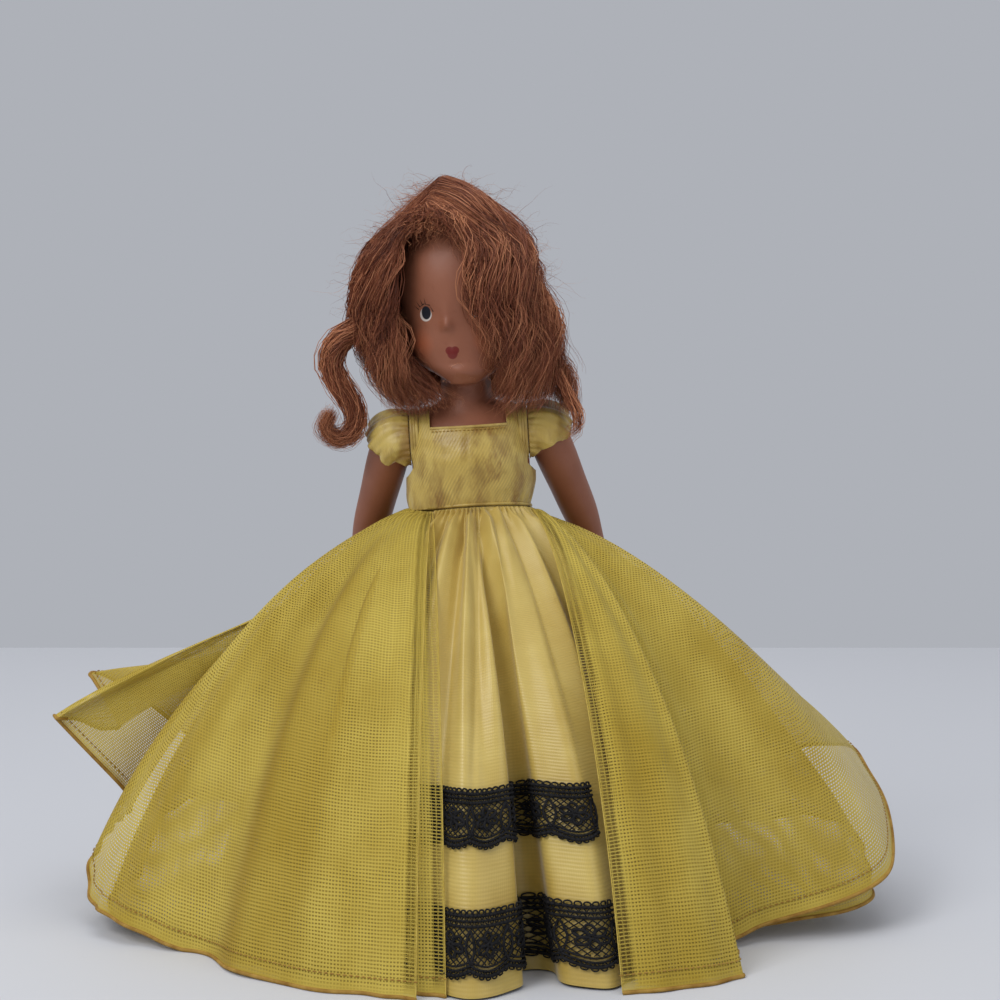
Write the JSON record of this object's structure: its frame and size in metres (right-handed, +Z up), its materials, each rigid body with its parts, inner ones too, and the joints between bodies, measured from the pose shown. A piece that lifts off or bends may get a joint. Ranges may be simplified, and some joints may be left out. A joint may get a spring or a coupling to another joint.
{
  "type": "storybook doll",
  "caption": "Small standing bisque doll with strung arms, mohair wig and a satin gown under an open net overskirt.",
  "frame": {"origin": "on the floor, in the middle of the bounding box", "axes": "+Z up, the doll faces -Y, +X is the viewer's right"},
  "size_m": [0.1605, 0.1102, 0.1396],
  "materials": {
    "bisque": "matte fired bisque, tinted",
    "hair": "mohair",
    "satin": "ribbed satin",
    "net": "stiff net",
    "lace": "cotton lace",
    "linen": "plain weave",
    "elastic": "covered elastic",
    "snap": "plated"
  },
  "bodies": {
    "doll": {"body_casting": "bisque", "hair_crown": "hair", "hair_fringe": "hair", "left_ringlet": "hair", "right_lock": "hair", "hair_nape_roll": "hair", "bodice": "satin", "underskirt": "satin", "waist_tape": "satin", "net_overskirt": "net", "upper_lace": "lace", "lower_lace": "lace", "pantalettes": "linen", "arm_elastic": "elastic", "back_snap": "snap"},
    "left_arm": {"left_arm": "bisque", "left_sleeve": "satin"},
    "right_arm": {"right_arm": "bisque", "right_sleeve": "satin"}
  },
  "joints": [
    {"name": "left_shoulder", "type": "hinge", "parent": "doll", "child": "left_arm", "pos_m": [-0.01154, 0, 0.09132], "axis": [0.9981, 0, 0.061], "range_deg": [0, 90]},
    {"name": "right_shoulder", "type": "hinge", "parent": "doll", "child": "right_arm", "pos_m": [0.00983, 0, 0.09263], "axis": [0.9981, 0, 0.061], "range_deg": [0, 90]}
  ]
}
